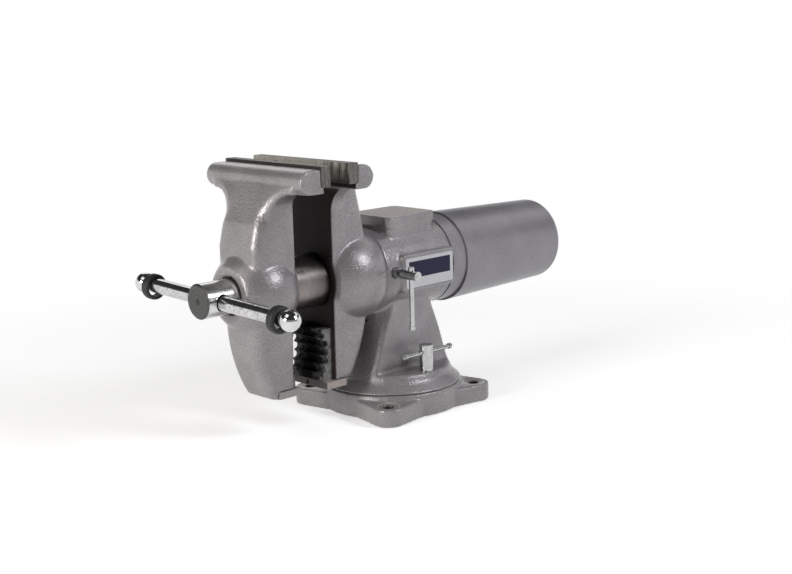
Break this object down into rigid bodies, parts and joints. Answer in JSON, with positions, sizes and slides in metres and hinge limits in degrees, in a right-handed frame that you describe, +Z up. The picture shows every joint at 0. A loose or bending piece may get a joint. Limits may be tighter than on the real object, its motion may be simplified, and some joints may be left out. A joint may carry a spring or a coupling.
{
  "type": "multipurpose bench vise",
  "caption": "Cast bench vise with a rotating head, swivel base, serrated jaws above toothed pipe jaws, a long rear cover, a flat anvil and a sliding handle.",
  "frame": {"origin": "middle of the bench bolt pattern on the bench face, on the swivel axis", "axes": "+Z up along the swivel axis; +Y back along the screw axis to the rear cover, the handle is at -Y; +X to the side with the head lock"},
  "size_m": [0.2799, 0.5369, 0.305],
  "materials": {
    "cast_paint": "hammered silver grey paint on cast iron",
    "jaw_steel": "ground bare tool steel",
    "pipe_jaw_steel": "dark hardened steel",
    "plate_steel": "bare rolled steel",
    "bar_steel": "turned satin steel",
    "turned_steel": "turned bright steel",
    "bright_chrome": "polished",
    "black_rubber": "matt",
    "zinc_steel": "zinc plated",
    "dark_steel": "black oxide",
    "bronze": "machined bronze",
    "label_metal": "plain printed plate, no lettering"
  },
  "bodies": {
    "base": {"swivel_base": "cast_paint"},
    "body": {"body_casting": "cast_paint", "name_plate": "label_metal", "lock_studs": "dark_steel", "pivot_pin": "dark_steel", "head_lock_shoe": "bronze"},
    "lock_nut_right": {"swivel_lock_nut_right": "zinc_steel"},
    "lock_bar_right": {"swivel_lock_bar_right": "zinc_steel"},
    "lock_nut_left": {"swivel_lock_nut_left": "zinc_steel"},
    "lock_bar_left": {"swivel_lock_bar_left": "zinc_steel"},
    "lock_screw_head": {"head_lock_screw": "zinc_steel"},
    "lock_bar_head": {"head_lock_bar": "zinc_steel"},
    "head": {"fixed_jaw": "cast_paint", "fixed_jaw_insert": "jaw_steel", "fixed_insert_screws": "dark_steel", "fixed_pipe_jaw": "pipe_jaw_steel", "fixed_bottom_plate": "plate_steel", "fixed_plate_screws": "dark_steel", "retaining_ring": "cast_paint", "rear_cover": "cast_paint", "spindle_nut": "bronze"},
    "front_jaw_body": {"front_jaw": "cast_paint", "front_jaw_insert": "jaw_steel", "front_insert_screws": "dark_steel", "front_pipe_jaw": "pipe_jaw_steel", "front_bottom_plate": "plate_steel", "front_plate_screws": "dark_steel", "slide_bar": "bar_steel"},
    "screw": {"spindle": "turned_steel", "thrust_washer": "bronze", "spindle_collar": "dark_steel", "collar_pin": "dark_steel"},
    "handle": {"handle_rod": "bright_chrome", "handle_balls": "bright_chrome", "handle_bumpers": "black_rubber"}
  },
  "joints": [
    {"name": "base_swivel", "type": "hinge", "parent": "base", "child": "body", "pos_m": [0, 0, 0.028], "axis": [0, 0, 1], "continuous": true},
    {"name": "head_rotation", "type": "hinge", "parent": "body", "child": "head", "pos_m": [0, 0, 0.167], "axis": [0, 1, 0], "continuous": true},
    {"name": "jaw_slide", "type": "slide", "parent": "head", "child": "front_jaw_body", "axis": [0, 1, 0], "range_m": [-0.123, 0.0268]},
    {"name": "spindle_turn", "type": "hinge", "parent": "front_jaw_body", "child": "screw", "pos_m": [0, -0.25, 0.167], "axis": [0, 1, 0], "range_deg": [-6970, 1518]},
    {"name": "handle_slide", "type": "slide", "parent": "screw", "child": "handle", "axis": [0.9997, 0, -0.0262], "range_m": [-0.0852, 0.0852]},
    {"name": "head_lock_turn", "type": "hinge", "parent": "body", "child": "lock_screw_head", "pos_m": [0.06, -0.0365, 0.1685], "axis": [1, 0, 0], "range_deg": [-25, 25]},
    {"name": "head_lock_bar_slide", "type": "slide", "parent": "lock_screw_head", "child": "lock_bar_head", "axis": [0, 0, 1], "range_m": [0, 0.05]},
    {"name": "swivel_lock_right_turn", "type": "hinge", "parent": "body", "child": "lock_nut_right", "pos_m": [0.06, 0, 0.06], "axis": [0, 0, 1], "range_deg": [-12, 12]},
    {"name": "swivel_lock_right_bar_slide", "type": "slide", "parent": "lock_nut_right", "child": "lock_bar_right", "axis": [0, 1, 0], "range_m": [-0.0285, 0.0235]},
    {"name": "swivel_lock_left_turn", "type": "hinge", "parent": "body", "child": "lock_nut_left", "pos_m": [-0.06, 0, 0.06], "axis": [0, 0, 1], "range_deg": [-12, 12]},
    {"name": "swivel_lock_left_bar_slide", "type": "slide", "parent": "lock_nut_left", "child": "lock_bar_left", "axis": [0, 1, 0], "range_m": [-0.0285, 0.0235]}
  ],
  "couplings": [
    {"joint": "jaw_slide", "follows": "spindle_turn", "m_per_rad": 0.0010106}
  ]
}
